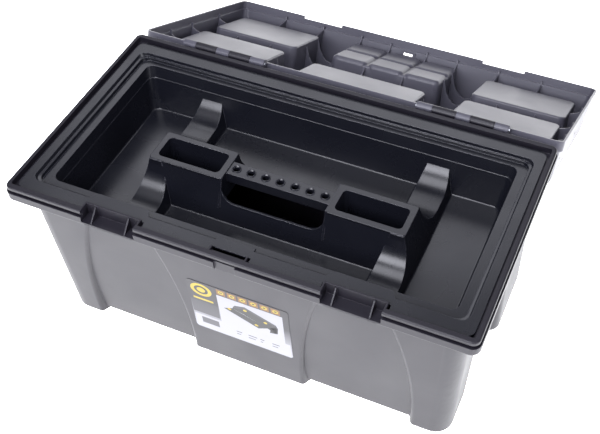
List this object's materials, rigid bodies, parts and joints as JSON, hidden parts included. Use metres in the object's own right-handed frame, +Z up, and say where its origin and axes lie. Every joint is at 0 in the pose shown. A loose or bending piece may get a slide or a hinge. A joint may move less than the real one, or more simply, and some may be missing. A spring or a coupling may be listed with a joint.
{
  "type": "toolbox with lift-out tray",
  "caption": "Moulded plastic hand toolbox, lid open on its rear hinges, with a black lift-out tool tray, organiser wells in the lid, folding carry handle and front clips.",
  "frame": {"origin": "bottom centre of the box's base, at the level that it stands on; the open lid reaches back past it", "axes": "+X to the right seen from the front, +Y back towards the hinges, +Z up"},
  "size_m": [0.546, 0.584, 0.227],
  "materials": {
    "grey_body": "moulded polypropylene, fine satin texture",
    "grey_lid": "moulded polypropylene, satin inside",
    "black_tray": "moulded polypropylene, semi-gloss",
    "black_clip": "moulded polypropylene, fine spark texture",
    "cover": "moulded clear polystyrene, polished",
    "steel_pin": "drawn zinc-plated wire",
    "label": "printed film"
  },
  "bodies": {
    "box": {"box_body": "grey_body", "hinge_rod_left": "steel_pin", "hinge_rod_right": "steel_pin", "front_label": "label"},
    "tray": {"tool_tray": "black_tray"},
    "lid": {"lid_shell": "grey_lid", "latch_pin_left": "steel_pin", "latch_pin_right": "steel_pin", "handle_pin_left": "steel_pin", "handle_pin_right": "steel_pin", "cover_pins_left": "steel_pin", "cover_pins_right": "steel_pin", "cover_pins_front": "steel_pin"},
    "clip_left": {"latch_left": "black_clip"},
    "clip_right": {"latch_right": "black_clip"},
    "handle": {"carry_handle": "black_clip"},
    "cover_left": {"organiser_cover_left": "cover"},
    "cover_right": {"organiser_cover_right": "cover"},
    "cover_front": {"organiser_cover_front": "cover"}
  },
  "joints": [
    {"name": "lid_hinge", "type": "hinge", "parent": "box", "child": "lid", "pos_m": [0, 0.1585, 0.221], "axis": [1, 0, 0], "range_deg": [0, 206.1]},
    {"name": "tray_lift", "type": "slide", "parent": "box", "child": "tray", "axis": [0, 0, -1], "range_m": [-0.12, 0]},
    {"name": "latch_left_hinge", "type": "hinge", "parent": "lid", "child": "clip_left", "pos_m": [-0.1395, 0.42504, 0.05702], "axis": [1, 0, 0], "range_deg": [0, 153.9]},
    {"name": "latch_right_hinge", "type": "hinge", "parent": "lid", "child": "clip_right", "pos_m": [0.1395, 0.42504, 0.05702], "axis": [1, 0, 0], "range_deg": [0, 153.9]},
    {"name": "handle_hinge", "type": "hinge", "parent": "lid", "child": "handle", "pos_m": [0, 0.26509, 0.09194], "axis": [1, 0, 0], "range_deg": [-95, 0]},
    {"name": "cover_left_hinge", "type": "hinge", "parent": "lid", "child": "cover_left", "pos_m": [-0.2585, 0.27338, 0.09523], "axis": [0, 0.898, -0.4399], "range_deg": [0, 100]},
    {"name": "cover_right_hinge", "type": "hinge", "parent": "lid", "child": "cover_right", "pos_m": [0.2585, 0.27338, 0.09523], "axis": [0, -0.898, 0.4399], "range_deg": [0, 100]},
    {"name": "cover_front_hinge", "type": "hinge", "parent": "lid", "child": "cover_front", "pos_m": [0, 0.29898, 0.08269], "axis": [-1, 0, 0], "range_deg": [0, 100]}
  ]
}
